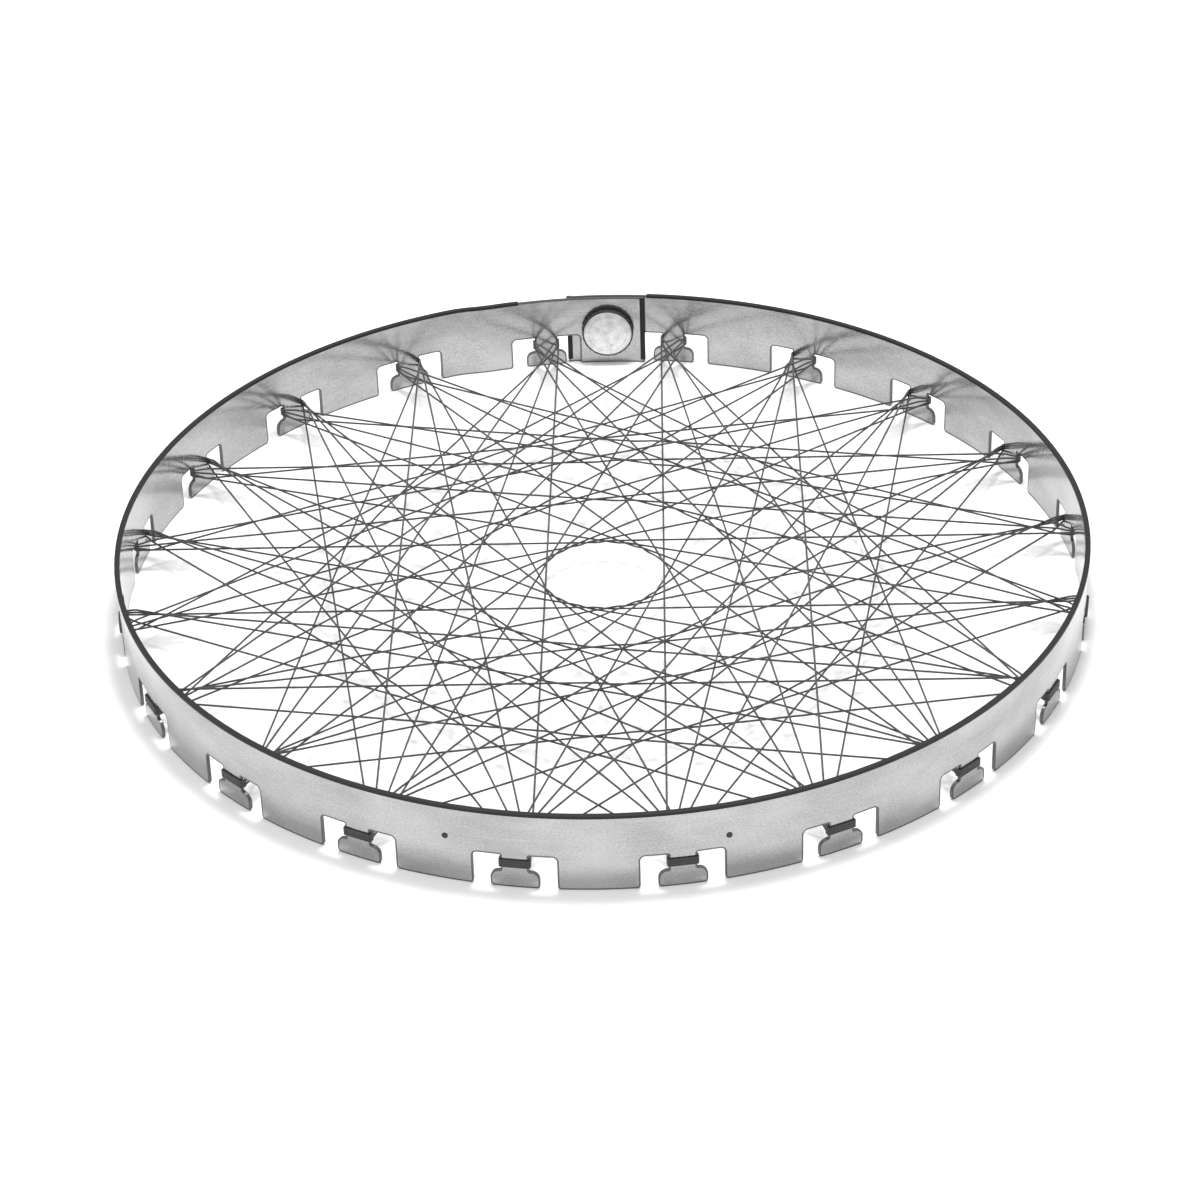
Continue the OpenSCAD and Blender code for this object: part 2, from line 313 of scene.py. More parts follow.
def braided_cord(rgb, around):
    """Braid of eight strands each way, read from metres along and around the cord, with painted
    shade in the grooves between the strands and painted highlight on their crests.
    """
    finish = Finish("braided_cord")
    metres = finish.add("ShaderNodeUVMap", {"uv_map": "cord"}, {})
    along, round_it, _ = finish.parts(metres)
    lead = math.pi / 0.0021
    turn = 4 * math.pi / around
    right = (along * lead + round_it * turn).sin().abs()
    left = (along * lead - round_it * turn).sin().abs()
    over = (along * (lead * 2)).sin().between(-0.4, 0.4)
    strand = over * right + (1 - over) * left
    weave = strand * 0.7 + right * left * 0.3
    wear = finish.noise(finish.stretch(metres, (22, 300, 1)), 3, 0.6).between(0.45, 0.72)
    fuzz = finish.noise(finish.stretch(metres, (5200, 2600, 1)), 1, 0.5)
    # Painted shade and highlight: the cord is darkened where the weave dips between the strands and
    # lightened on their crests.
    yarn_with_crease_shade = finish.mix(weave.between(0.25, 0.95), shade(rgb, 0.35), shade(rgb, 1.35))
    tint = finish.mix(wear * 0.45 * weave, yarn_with_crease_shade, shade(rgb, 3.2))
    return finish.surface(Base_Color=tint, Roughness=fuzz * 0.15 + 0.6,
                          Sheen_Weight=0.25, Sheen_Roughness=0.5,
                          Normal=finish.bump(weave + fuzz * 0.25, 0.00022, 0.9))


def moulded_plastic(rgb):
    """Black nylon with spark-eroded grain and rubbed high spots."""
    finish = Finish("moulded_plastic")
    place = finish.add("ShaderNodeTexCoord", {}, {}, output=3)
    grain = finish.noise(finish.stretch(place, (2600, 2600, 2600)), 3, 0.65)
    rubbed = finish.noise(finish.stretch(place, (160, 160, 160)), 3, 0.6).between(0.5, 0.72)
    tint = finish.mix(rubbed * 0.4, shade(rgb, 0.85), shade(rgb, 1.9))
    return finish.surface(Base_Color=tint, Roughness=0.5 - rubbed * 0.16 + grain * 0.08,
                          Normal=finish.bump(grain, 0.00008, 0.6))


def turned_metal(name, rgb, middle, ring, dullness):
    """Turned or spun metal: rings round an axis along Y through middle, and stray scratches."""
    finish = Finish(name)
    place = finish.add("ShaderNodeTexCoord", {}, {}, output=3)
    x, y, z = finish.parts(place)
    across = x - middle.x
    up = z - middle.z
    radius = (across * across + up * up) ** 0.5
    rings = finish.noise(finish.add("ShaderNodeCombineXYZ", {}, {0: radius * ring, 1: y * ring}),
                         3, 0.7)
    cloud = finish.noise(finish.stretch(place, (140, 140, 140)), 4, 0.6)
    nicks = finish.noise(finish.stretch(place, (1500, 300, 130)), 2, 0.6).between(0.66, 0.74)
    tone = (rings * 0.55 + cloud * 0.45).between(0.36, 0.64)
    tint = finish.mix(tone, shade(rgb, 0.72), shade(rgb, 1.2))
    worn = finish.mix(nicks * 0.5, tint, shade(rgb, 0.45))
    return finish.surface(Base_Color=worn, Metallic=0.95,
                          Roughness=rings * 0.12 + cloud * 0.14 + dullness,
                          Normal=finish.bump(rings * 0.6 + nicks * 0.4, 0.00006, 0.5))


def floor_paint(rgb):
    """Pale studio floor, a little uneven."""
    finish = Finish("studio_floor")
    place = finish.add("ShaderNodeTexCoord", {}, {}, output=3)
    uneven = finish.noise(finish.stretch(place, (3, 3, 3)), 3, 0.5)
    tint = finish.mix(uneven, shade(rgb, 0.99), shade(rgb, 1.01))
    return finish.surface(Base_Color=tint, Roughness=0.9)


# ---- modelling by hand ----


def deselect_all():
    """Leaves the edit mode and clears the selection, the frame's nodes included."""
    if bpy.context.object and bpy.context.object.mode != "OBJECT":
        bpy.ops.object.mode_set(mode="OBJECT")
    for piece in bpy.context.selected_objects:
        piece.select_set(False)


def pick(piece):
    """Makes piece the only selected object, and the active one."""
    deselect_all()
    piece.select_set(True)
    bpy.context.view_layer.objects.active = piece


def edit(piece):
    pick(piece)
    bpy.ops.object.mode_set(mode="EDIT")
    bpy.ops.mesh.select_mode(type="VERT")
    bpy.ops.mesh.select_all(action="SELECT")


def leave_edit():
    bpy.ops.object.mode_set(mode="OBJECT")


def select_points(piece, test):
    """Selects, for the edit mode, the vertices whose place passes a test."""
    leave_edit()
    mesh = piece.data
    for edge in mesh.edges:
        edge.select = False
    for face in mesh.polygons:
        face.select = False
    for vertex in mesh.vertices:
        vertex.select = test(vertex.co)
    bpy.ops.object.mode_set(mode="EDIT")


def draw(name, points, fill=True):
    """Draws a line from point to point, and fills it as one face."""
    deselect_all()
    bpy.ops.mesh.primitive_plane_add(size=MM, location=points[0])
    piece = bpy.context.object
    piece.name = name
    bpy.ops.object.transform_apply(location=True, rotation=True, scale=True)
    edit(piece)
    bpy.ops.mesh.merge(type="CENTER")
    for before, after in zip(points, points[1:]):
        step = Vector(after) - Vector(before)
        bpy.ops.mesh.extrude_region_move(TRANSFORM_OT_translate={"value": step})
    if fill:
        bpy.ops.mesh.select_all(action="SELECT")
        bpy.ops.mesh.edge_face_add()
    leave_edit()
    return piece


def round_corners(piece, test, radius, segments):
    """Rounds the corners of a flat outline that pass a test."""
    edit(piece)
    select_points(piece, test)
    bpy.ops.mesh.bevel(offset=radius, segments=segments, affect="VERTICES")
    leave_edit()


def pull(piece, step):
    """Extrudes a flat face by a step into a solid whose faces point outwards."""
    edit(piece)
    bpy.ops.mesh.extrude_region_move(TRANSFORM_OT_translate={"value": step})
    bpy.ops.mesh.select_all(action="SELECT")
    bpy.ops.mesh.normals_make_consistent(inside=False)
    leave_edit()


def slice_across(piece, places):
    """Cuts the piece across at each place along X, so that it can be rolled."""
    edit(piece)
    for x in places:
        bpy.ops.mesh.select_all(action="SELECT")
        bpy.ops.mesh.bisect(plane_co=(x, 0, 0), plane_no=(1, 0, 0))
    leave_edit()


def modify(piece, kind, **settings):
    """Adds a modifier and applies it."""
    pick(piece)
    modifier = piece.modifiers.new(kind.lower(), kind)
    for name, value in settings.items():
        setattr(modifier, name, value)
    bpy.ops.object.modifier_apply(modifier=modifier.name)


def soften(piece, width, segments=2, angle=40):
    """Rounds the edges sharper than an angle, in degrees."""
    modify(piece, "BEVEL", width=width, segments=segments, limit_method="ANGLE",
           angle_limit=math.radians(angle), use_clamp_overlap=True)


def cut_out(piece, tool):
    """Cuts the tool's shape out of the piece, and removes the tool."""
    modify(piece, "BOOLEAN", operation="DIFFERENCE", object=tool, solver="EXACT")
    bpy.data.objects.remove(tool)


def drill(name, radius, depth, place, turn=(BACK, 0, 0), sides=32):
    """A round cutter with its middle at a place, along Y unless it is turned."""
    deselect_all()
    bpy.ops.mesh.primitive_cylinder_add(vertices=sides, radius=radius, depth=depth,
                                        location=place, rotation=turn)
    tool = bpy.context.object
    tool.name = name
    bpy.ops.object.transform_apply(location=True, rotation=True, scale=True)
    return tool


def smooth(piece, angle=35):
    """Smooth shading that keeps the flat faces flat."""
    pick(piece)
    bpy.ops.object.shade_smooth_by_angle(angle=math.radians(angle))
    modify(piece, "WEIGHTED_NORMAL", keep_sharp=True, weight=50)


def settle(piece, body, slot, material, *nodes):
    """Gives a finished piece its material and body, and hides the CAD nodes that it stands for. The
    slot is not used.
    """
    piece.data.materials.clear()
    piece.data.materials.append(material)
    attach(piece, body)
    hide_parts(*nodes)


def paint_node(node, material):
    """A new finish on a CAD node that stays."""
    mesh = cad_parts[node].data
    mesh.materials.clear()
    mesh.materials.append(material)


# ---- the strip ----


def sizes():
    """The sizes and colours on the scene."""
    return bpy.context.scene.lawn_hoop


def bay_length(hoop):
    """Length of the strip that belongs to one hook."""
    return FULL_TURN * hoop.radius / hoop.hooks


def ease(share):
    """A soft rise from 0 to 1."""
    share = min(max(share, 0), 1)
    return share * share * (3 - 2 * share)


def joggle_angles(hoop):
    """Where the strip's step inwards begins and ends: one bay past the back."""
    middle = BACK + FULL_TURN / hoop.hooks
    half = hoop.joggle / 2 / hoop.radius
    return middle - half, middle + half


def layer_radius(hoop, angle):
    """Radius of the strip's outer face: the inner layer's, then the step, then the full one."""
    start, end = joggle_angles(hoop)
    return hoop.radius - hoop.lap_step * (1 - ease((angle - start) / (end - start)))


def angle_at(hoop, x):
    """The hoop's angle at a place along the flat strip. The inner layer shifts with the lap."""
    start, end = joggle_angles(hoop)
    angle = BACK + x / hoop.radius
    shift = hoop.lap_shift / hoop.radius * (1 - ease((angle - start) / (end - start)))
    return angle - shift


def half_window(hoop):
    """Half the angle that a window spans."""
    return math.asin(hoop.window_width / 2 / hoop.radius)


def strip_ends(hoop):
    """Places of the inner and the outer free end along the flat strip."""
    tooth = (FULL_TURN / hoop.hooks / 2 - half_window(hoop)) * hoop.radius
    outer = FULL_TURN * hoop.radius + tooth + hoop.tongue - hoop.lap_shift
    return -tooth + hoop.edging_wall + MM, outer


def roll(piece, hoop):
    """Bends a flat piece round the hoop. X runs along the strip, and Y=0 is its outer face."""
    for vertex in piece.data.vertices:
        angle = angle_at(hoop, vertex.co.x)
        radius = layer_radius(hoop, angle) + vertex.co.y
        vertex.co = HOOP_MIDDLE + Vector((radius * math.cos(angle), radius * math.sin(angle),
                                          vertex.co.z))


def note_flat_place(piece):
    """Keeps each vertex's place on the flat piece."""
    mesh = piece.data
    flat = mesh.attributes.new("flat", "FLOAT_VECTOR", "POINT")
    for vertex in mesh.vertices:
        flat.data[vertex.index].vector = vertex.co


def border_faces(piece, width):
    """Marks the cut edges with 1, and a narrow band along them on both faces with a little less:
    the mask of the painted shade and of the duller roughness along the cut edges.
    """
    edit(piece)
    bpy.ops.mesh.select_mode(type="FACE")
    leave_edit()
    for face in piece.data.polygons:
        face.select = abs(face.normal.y) > SQUARE_ON
    bpy.ops.object.mode_set(mode="EDIT")
    bpy.ops.mesh.inset(thickness=width, depth=0)
    leave_edit()
    mesh = piece.data
    cut = mesh.attributes.new("cut", "FLOAT", "FACE")
    for face in mesh.polygons:
        if abs(face.normal.y) < SQUARE_ON:
            cut.data[face.index].value = 1.0
        else:
            cut.data[face.index].value = 0.0 if face.select else BAND_SHADE


def bay_outline(hoop):
    """Outline of one bay seen from outside: two half teeth and the hook between them."""
    bay, window, foot, neck = (width / 2 for width in (bay_length(hoop), hoop.window_width,
                                                       hoop.foot_width, hoop.neck_width))
    left = [(-bay, hoop.height), (-bay, 0), (-window, 0), (-window, hoop.window_height),
            (-neck, hoop.window_height), (-neck, hoop.foot_height),
            (-foot, hoop.foot_height), (-foot, 0)]
    right = [(-x, z) for x, z in reversed(left)]
    return [Vector((x, 0, z)) for x, z in left + right]


def near(value, target):
    """Whether two lengths are the same, within a hundredth of a millimetre."""
    return abs(value - target) < 0.01 * MM


def round_bay(bay, hoop):
    """Rounds the bay's corners: on the ground, on the foot, in the window and on the neck."""
    half_bay, window, foot = bay_length(hoop) / 2, hoop.window_width / 2, hoop.foot_width / 2
    neck_corner_radius = 1.2 * MM
    round_corners(bay, lambda p: near(p.z, 0) and abs(p.x) < half_bay - MM,
                  hoop.ground_corner, 5)
    round_corners(bay, lambda p: near(abs(p.x), foot) and near(p.z, hoop.foot_height),
                  hoop.shoulder, 8)
    round_corners(bay, lambda p: near(abs(p.x), window) and near(p.z, hoop.window_height),
                  hoop.window_corner, 6)
    round_corners(bay, lambda p: near(abs(p.x), hoop.neck_width / 2),
                  neck_corner_radius, 3)


def spread(low, high, gap):
    """Evenly spaced places between two others, no further apart than gap."""
    count = math.ceil((high - low) / gap)
    return [low + (high - low) * i / count for i in range(1, count)]


def open_bay_ends(bay, half_bay):
    """Takes the bay's two end faces away, so that the next bays join on."""
    edit(bay)
    bpy.ops.mesh.select_mode(type="FACE")
    leave_edit()
    for face in bay.data.polygons:
        face.select = near(abs(face.center.x), half_bay) and abs(face.normal.x) > 0.9
    bpy.ops.object.mode_set(mode="EDIT")
    bpy.ops.mesh.delete(type="FACE")
    leave_edit()


def extend_end(strip, end, reach):
    """Extrudes the open end at a place along X by a reach, and closes it."""
    edit(strip)
    select_points(strip, lambda p: abs(p.x - end) < 0.02 * MM)
    bpy.ops.mesh.extrude_region_move(TRANSFORM_OT_translate={"value": (reach, 0, 0)})
    bpy.ops.mesh.edge_face_add()
    leave_edit()


def flat_strip(hoop):
    """The whole strip before rolling: equal bays, run on at both ends."""
    bay = bay_length(hoop)
    bay_slice, end_slice, joggle_slice, seam = 11 * MM, 9 * MM, 3.3 * MM, 0.01 * MM
    strip = draw("hoop_strip_metal", bay_outline(hoop))
    round_bay(strip, hoop)
    pull(strip, (0, -hoop.thickness, 0))
    marks = [0, hoop.neck_width / 2, hoop.foot_width / 2, hoop.window_width / 2, bay / 2]
    places = [x for low, high in zip(marks, marks[1:]) for x in spread(low, high, bay_slice)]
    places += marks[1:-1]
    slice_across(strip, sorted([0] + places + [-x for x in places]))
    open_bay_ends(strip, bay / 2)
    modify(strip, "ARRAY", count=hoop.hooks, use_relative_offset=False,
           use_constant_offset=True, constant_offset_displace=(bay, 0, 0),
           use_merge_vertices=True, merge_threshold=seam)
    for vertex in strip.data.vertices:
        vertex.co.x += bay / 2
    inner, outer = strip_ends(hoop)
    extend_end(strip, 0, inner)
    extend_end(strip, bay * hoop.hooks, outer - bay * hoop.hooks)
    start, end = ((angle - BACK) * hoop.radius for angle in joggle_angles(hoop))
    slice_across(strip, spread(inner, 0, end_slice) + spread(start, end, joggle_slice)
                 + [start, end] + spread(bay * hoop.hooks, outer, end_slice))
    return strip


def bolt_places(hoop):
    """Where the clamp's axis crosses the outer and the inner layer of the flat strip."""
    offset = -KNOB_MIDDLE.x
    outer = (FULL_TURN + math.asin(offset / hoop.radius)) * hoop.radius
    inner = math.asin(offset / (hoop.radius - hoop.lap_step)) * hoop.radius
    return outer, inner + hoop.lap_shift


def drill_strip(strip, hoop, rivet):
    """The two rivet holes at the front, and the clamp's square and round holes."""
    rivet_room, half_square, bolt_hole = 0.05 * MM, 4.02 * MM, 4.4 * MM
    reach = hoop.thickness * 3
    middle = -hoop.thickness / 2
    front = FULL_TURN / 2 * hoop.radius
    for side in (-1, 1):
        place = (front + rivet.shift + side * rivet.gap / 2, middle, rivet.height)
        cut_out(strip, drill("rivet_drill", rivet.shank + rivet_room, reach, place, sides=28))
    outer, inner = bolt_places(hoop)
    square = (BACK, math.pi / 4, 0)
    cut_out(strip, drill("square_punch", half_square * math.sqrt(2), reach,
                         (outer, middle, KNOB_MIDDLE.z), square, sides=4))
    cut_out(strip, drill("bolt_drill", bolt_hole, reach, (inner, middle, KNOB_MIDDLE.z)))


class MESH_OT_lawn_strip(bpy.types.Operator):
    """Cuts the strip with its hooks, and rolls it into the hoop"""

    bl_idname = "mesh.lawn_strip"
    bl_label = "Hoop strip"

    def execute(self, context):
        hoop = sizes().hoop
        strip = flat_strip(hoop)
        soften(strip, hoop.edge)
        border_faces(strip, hoop.border)
        drill_strip(strip, hoop, sizes().rivet)
        note_flat_place(strip)
        roll(strip, hoop)
        smooth(strip)
        settle(strip, "hoop", "strip", rolled_metal(sizes().colours.metal), "hoop_strip")
        return {"FINISHED"}


# ---- the edging ----


def channel_outline(hoop, leg):
    """Section of the edging across the strip: two legs and the back that joins them."""
    wall, inside = hoop.edging_wall, -hoop.thickness
    return [(inside - wall, -leg), (inside - wall, wall), (wall, wall), (wall, -leg),
            (0, -leg), (0, 0), (inside, 0), (inside, -leg)]


def channel(name, hoop, leg, place, step):
    """A length of edging: the section put in place, its corners rounded, and pulled along."""
    points = [place(y, reach) for y, reach in channel_outline(hoop, leg)]
    piece = draw(name, points)
    wall = hoop.edging_wall
    inner_face = -hoop.thickness - wall
    round_corners(piece, lambda p: near(p.y, inner_face) or near(p.y, wall), wall * 0.45, 4)
    pull(piece, step)
    return piece


def finish_edging(piece, hoop, material, node):
    """Rolls a length of edging with the strip, and settles it."""
    roll(piece, hoop)
    smooth(piece, 50)
    settle(piece, "hoop", "edging", material, node)


class MESH_OT_lawn_edging(bpy.types.Operator):
    """Fits the rubber edging on the rim and on the strip's two free ends"""

    bl_idname = "mesh.lawn_edging"
    bl_label = "Edging"

    def execute(self, context):
        hoop = sizes().hoop
        material = rubber(sizes().colours.edging)
        inner, outer = strip_ends(hoop)
        tooth = (FULL_TURN / hoop.hooks / 2 + half_window(hoop)) * hoop.radius
        lead_in, edging_slice = 8 * MM, 10 * MM
        start = tooth - lead_in
        end = FULL_TURN * hoop.radius + inner - hoop.lap_shift - 2 * hoop.edging_wall - MM
        rim = channel("rim_edging_rubber", hoop, hoop.rim_leg,
                      lambda y, reach: Vector((start, y, hoop.height + reach)),
                      (end - start, 0, 0))
        slice_across(rim, spread(start, end, edging_slice))
        finish_edging(rim, hoop, material, "rim_edging")
        rise = (0, 0, hoop.height - hoop.ground_corner)
        first = channel("inner_end_edging_rubber", hoop, hoop.end_leg,
                        lambda y, reach: Vector((inner - reach, y, hoop.ground_corner)), rise)
        finish_edging(first, hoop, material, "inner_end_edging")
        last = channel("outer_end_edging_rubber", hoop, hoop.end_leg,
                       lambda y, reach: Vector((outer + reach, y, hoop.ground_corner)), rise)
        finish_edging(last, hoop, material, "outer_end_edging")
        paint_node("clamp_pad", material)
        return {"FINISHED"}


# ---- the net ----


def hook_frame(hoop, index):
    """A hook's outward and sideways directions, and the radius of its outer face."""
    angle = angle_at(hoop, bay_length(hoop) * (index + 0.5))
    out = Vector((math.cos(angle), math.sin(angle), 0))
    side = Vector((-out.y, out.x, 0))
    return out, side, layer_radius(hoop, angle)


def neck_corner(hoop, index, side_sign, face):
    """Plan place of a neck's corner: on one side, and on its inner or outer face."""
    out, side, radius = hook_frame(hoop, index)
    depth = radius if face == "outer" else radius - hoop.thickness
    return out * depth + side * (side_sign * hoop.neck_width / 2)


def bend(centre, start, end, radius, steps):
    """Points of an arc round a centre, from one direction to another."""
    turn = start.to_2d().angle_signed(end.to_2d())
    points = []
    for i in range(steps + 1):
        direction = start.copy()
        direction.rotate(Matrix.Rotation(-turn * i / steps, 3, "Z"))
        points.append(centre + direction * radius)
    return points


def span_normal(hoop, index, step):
    """Direction from the corners that a span bends round to the span itself."""
    other = (index + step) % hoop.hooks
    start = neck_corner(hoop, index, -1, "inner")
    end = neck_corner(hoop, other, 1, "inner")
    along = (end - start).normalized()
    normal = Vector((-along.y, along.x, 0))
    _, side, _ = hook_frame(hoop, other)
    return normal if normal.dot(side) > 0 else -normal


def plan_of_turn(hoop, index, step, radius):
    """Plan of the cord round one neck, from its inner arriving corner to its leaving one."""
    out, side, _ = hook_frame(hoop, index)
    arriving = span_normal(hoop, (index - step) % hoop.hooks, step)
    leaving = span_normal(hoop, index, step)
    return (bend(neck_corner(hoop, index, 1, "inner"), arriving, side, radius, 3)
            + bend(neck_corner(hoop, index, 1, "outer"), side, out, radius, 5)
            + bend(neck_corner(hoop, index, -1, "outer"), out, -side, radius, 5)
            + bend(neck_corner(hoop, index, -1, "inner"), -side, leaving, radius, 3))


def lengths_along(points):
    """Distance along a line of points to each of them."""
    total = [0.0]
    for before, after in zip(points, points[1:]):
        total.append(total[-1] + (after - before).length)
    return total


def raise_turn(points, low, high, top, lead):
    """Heights round a neck: up from low to the bunch at top, and down to high."""
    along = lengths_along(points)
    half = len(points) // 2
    flat_from, flat_to = along[half - 3], along[half + 2]
    raised = []
    for point, at in zip(points, along):
        if at < flat_from:
            height = low + (top - low) * ease((at + lead) / (flat_from + lead))
        elif at > flat_to:
            share = ease((at - flat_to) / (along[-1] - flat_to + lead))
            height = top + (high - top) * share
        else:
            height = top
        raised.append(Vector((point.x, point.y, height)))
    return raised


def middle_drop(hoop, net, step):
    """Half the length over which a span drops, short of its nearest crossings."""
    distance = hoop.radius * math.cos(step * math.pi / hoop.hooks)
    crossing = distance * math.tan(math.pi / hoop.hooks)
    return min(max(crossing - 2.2 * net.cord, 2 * net.cord), 12 * MM)


def raise_span(start, end, level, net, drop):
    """A straight span that starts over the cords it crosses and ends under them."""
    run = end.xy - start.xy
    total = run.length
    lift = net.cord / 2
    lead = net.lead
    places = [lead / 3, lead * 2 / 3, lead]
    places += spread(lead, total / 2 - drop, net.ring_gap)
    places += [total / 2 - drop, total / 2 - drop / 2]
    places += [total / 2] + [total - at for at in reversed(places)]
    points = []
    for at in places:
        xy = start.xy + run * (at / total)
        height = level + lift * (1 - 2 * ease((at - total / 2 + drop) / (2 * drop)))
        height += (start.z - level - lift) * (1 - ease(at / lead))
        height += (end.z - level + lift) * (1 - ease((total - at) / lead))
        points.append(Vector((*xy, height)))
    return points


def cord_route(hoop, net, first, step, level, top):
    """The closed route of the cord that starts at one hook and steps on until it is back."""
    slack = 0.04 * MM
    radius = net.cord / 2 + slack
    drop = middle_drop(hoop, net, step)
    lift = net.cord / 2
    stops = [first]
    while (stops[-1] + step) % hoop.hooks != first:
        stops.append((stops[-1] + step) % hoop.hooks)
    turns = [raise_turn(plan_of_turn(hoop, stop, step, radius), level - lift, level + lift, top,
                        net.lead)
             for stop in stops]
    route = []
    for turn, following in zip(turns, turns[1:] + turns[:1]):
        route += turn + raise_span(turn[-1], following[0], level, net, drop)
    return [point + HOOP_MIDDLE for point in route]


def sweep(name, route, radius, sides):
    """A closed tube round a closed route, with metres along and around it as its UV map."""
    count = len(route)
    points, faces = [], []
    for i, point in enumerate(route):
        ahead = (route[(i + 1) % count] - route[i - 1]).normalized()
        across = ahead.cross(Vector((0, 0, 1))).normalized()
        up = across.cross(ahead)
        for k in range(sides):
            angle = FULL_TURN * k / sides
            points.append(point + (across * math.cos(angle) + up * math.sin(angle)) * radius)
    for i in range(count):
        ring, following = i * sides, (i + 1) % count * sides
        for k in range(sides):
            other = (k + 1) % sides
            faces.append((ring + k, ring + other, following + other, following + k))
    mesh = bpy.data.meshes.new(name)
    mesh.from_pydata(points, [], faces)
    along = lengths_along(route + route[:1])
    corners = mesh.uv_layers.new(name="cord").data
    around = FULL_TURN * radius
    for face in mesh.polygons:
        i, k = divmod(face.index, sides)
        for loop, (row, column) in zip(face.loop_indices, ((i, k), (i, k + 1),
                                                           (i + 1, k + 1), (i + 1, k))):
            corners[loop].uv = (along[row], around * column / sides)
    piece = bpy.data.objects.new(name, mesh)
    bpy.context.scene.collection.objects.link(piece)
    return piece


def join(name, pieces):
    """Joins pieces into the first one, under a name."""
    pick(pieces[0])
    for piece in pieces[1:]:
        piece.select_set(True)
    bpy.ops.object.join()
    pieces[0].name = name
    return pieces[0]


class MESH_OT_lawn_net(bpy.types.Operator):
    """Laces the net in four courses over the hooks"""

    bl_idname = "mesh.lawn_net"
    bl_label = "Net"

    def execute(self, context):
        hoop, net = sizes().hoop, sizes().net
        material = braided_cord(sizes().colours.cord, math.pi * net.cord)
        courses = (("top", 7), ("second", 8), ("third", 9), ("lowest", 6))
        for order, (word, step) in enumerate(courses):
            node = "net_course_" + word
            low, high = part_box(node)
            level = (low.z + high.z) / 2
            top = net.bunch_top - net.bunch * order
            cords = [sweep("cord", cord_route(hoop, net, first, step, level, top), net.cord / 2,
                           net.sides)
                     for first in range(math.gcd(step, hoop.hooks))]
            course = join(node + "_cord", cords)
            edit(course)
            bpy.ops.mesh.normals_make_consistent(inside=False)
            leave_edit()
            bpy.ops.object.shade_smooth()
            settle(course, "hoop", "cord", material, node)
        return {"FINISHED"}


# ---- turned pieces ----


def lathe(name, outline, steps=96):
    """Spins an outline of (radius, height) points round Z into a closed solid."""
    piece = draw(name, [Vector((radius, 0, height)) for radius, height in outline], fill=False)
    edit(piece)
    bpy.ops.mesh.spin(steps=steps, angle=FULL_TURN, center=(0, 0, 0), axis=(0, 0, 1))
    bpy.ops.mesh.select_all(action="SELECT")
    bpy.ops.mesh.remove_doubles(threshold=0.004 * MM)
    bpy.ops.mesh.normals_make_consistent(inside=False)
    leave_edit()
    return piece


def rivet_outline(rivet, depth):
    """Half section of a rivet: its tail inside, the shank, and a head with a sunk middle."""
    chamfer, sunk = 0.2 * MM, 0.25 * MM
    foot = -depth - rivet.tail
    return [(0, foot), (rivet.shank - chamfer, foot), (rivet.shank, foot + chamfer),
            (rivet.shank, 0), (rivet.head, 0), (rivet.head, rivet.rise / 2),
            (rivet.head - chamfer, rivet.rise * 0.8), (rivet.shank, rivet.rise),
            (rivet.shank / 2, rivet.rise), (rivet.shank / 2 - chamfer, rivet.rise - sunk),
            (0, rivet.rise - sunk)]


class MESH_OT_lawn_rivets(bpy.types.Operator):
    """Sets the two black rivets at the front"""

    bl_idname = "mesh.lawn_rivets"
    bl_label = "Rivets"

    def execute(self, context):
        hoop, rivet = sizes().hoop, sizes().rivet
        pair = []
        for side in (-1, 1):
            angle = -BACK + (rivet.shift + side * rivet.gap / 2) / hoop.radius
            piece = lathe("rivet", rivet_outline(rivet, hoop.thickness), 40)
            pick(piece)
            piece.rotation_euler = (0, BACK, angle)
            piece.location = HOOP_MIDDLE + Vector((hoop.radius * math.cos(angle),
                                                   hoop.radius * math.sin(angle), rivet.height))
            bpy.ops.object.transform_apply(location=True, rotation=True, scale=True)
            pair.append(piece)
        rivets = join("front_rivets_pair", pair)
        smooth(rivets)
        settle(rivets, "hoop", "knob", moulded_plastic(sizes().colours.knob), "front_rivets")
        return {"FINISHED"}


def on_clamp(piece, seat):
    """Turns a piece modelled along Z to point into the hoop, and puts it on the clamp."""
    pick(piece)
    piece.rotation_euler = (BACK, 0, 0)
    piece.location = (KNOB_MIDDLE.x, seat, KNOB_MIDDLE.z)
    bpy.ops.object.transform_apply(location=True, rotation=True, scale=True)


def knob_outline(knob):
    """Half section of the knob's body: seat, skirt, grip, rim and the recess for the cap."""
    grip, rim = knob.radius, knob.radius - knob.rim
    floor = knob.depth - knob.cap
    return [(knob.insert, 0), (grip - 4 * MM, 0), (grip - 1.2 * MM, 1.0 * MM),
            (grip, 2 * MM), (grip, knob.depth - 0.6 * MM), (grip - 0.6 * MM, knob.depth),
            (rim, knob.depth), (rim, floor), (knob.insert, floor), (knob.insert, 0)]


